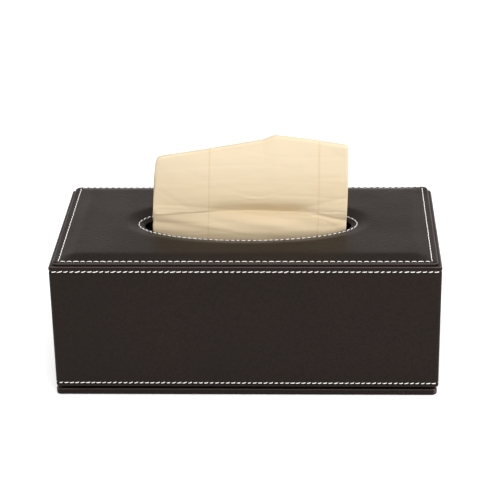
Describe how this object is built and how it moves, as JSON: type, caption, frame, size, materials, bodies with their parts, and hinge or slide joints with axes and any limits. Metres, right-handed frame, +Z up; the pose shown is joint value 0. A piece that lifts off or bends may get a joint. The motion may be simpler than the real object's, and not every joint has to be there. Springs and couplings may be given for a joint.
{
  "type": "tissue box cover",
  "caption": "Rectangular leather tissue box cover with a padded lid, an oval slot, a hinged magnetic base flap and a sheet drawn up from the folded stack inside.",
  "frame": {"origin": "centre of the underside of the base flap", "axes": "+X to the right along the long side, -Y to the front, +Z up"},
  "size_m": [0.2606, 0.1308, 0.1654],
  "materials": {
    "leather": "fine grain, satin",
    "fibreboard": "raw",
    "felt": "matt",
    "foam": "matt",
    "thread": "matt",
    "magnet": "nickel plated",
    "plate": "rolled",
    "tissue": "soft, unbleached"
  },
  "bodies": {
    "cover": {"wall_wrap": "leather", "lid_leather": "leather", "hinge_strip": "leather", "front_board": "fibreboard", "back_board": "fibreboard", "left_board": "fibreboard", "right_board": "fibreboard", "lid_board": "fibreboard", "front_lining": "felt", "back_lining": "felt", "left_lining": "felt", "right_lining": "felt", "lid_lining": "felt", "wall_top_stitching": "thread", "wall_bottom_stitching": "thread", "lid_edge_stitching": "thread", "slot_stitching": "thread", "lid_foam": "foam", "wall_magnets": "magnet"},
    "base_flap": {"flap_board": "fibreboard", "flap_cover": "leather", "flap_lining": "felt", "strike_plates": "plate"},
    "tissue_stack": {"tissue_stack": "tissue"},
    "top_sheet": {"tissue_sheet": "tissue"}
  },
  "joints": [
    {"name": "flap_hinge", "type": "hinge", "parent": "cover", "child": "base_flap", "pos_m": [0, 0.0639, 0.0054], "axis": [1, 0, 0], "range_deg": [0, 110], "deforming": ["hinge_strip"]},
    {"name": "stack_rise", "type": "slide", "parent": "cover", "child": "tissue_stack", "axis": [0, 0, 1], "range_m": [0, 0.04]},
    {"name": "sheet_pull", "type": "slide", "parent": "tissue_stack", "child": "top_sheet", "axis": [0, 0, 1], "range_m": [0, 0.12]}
  ]
}
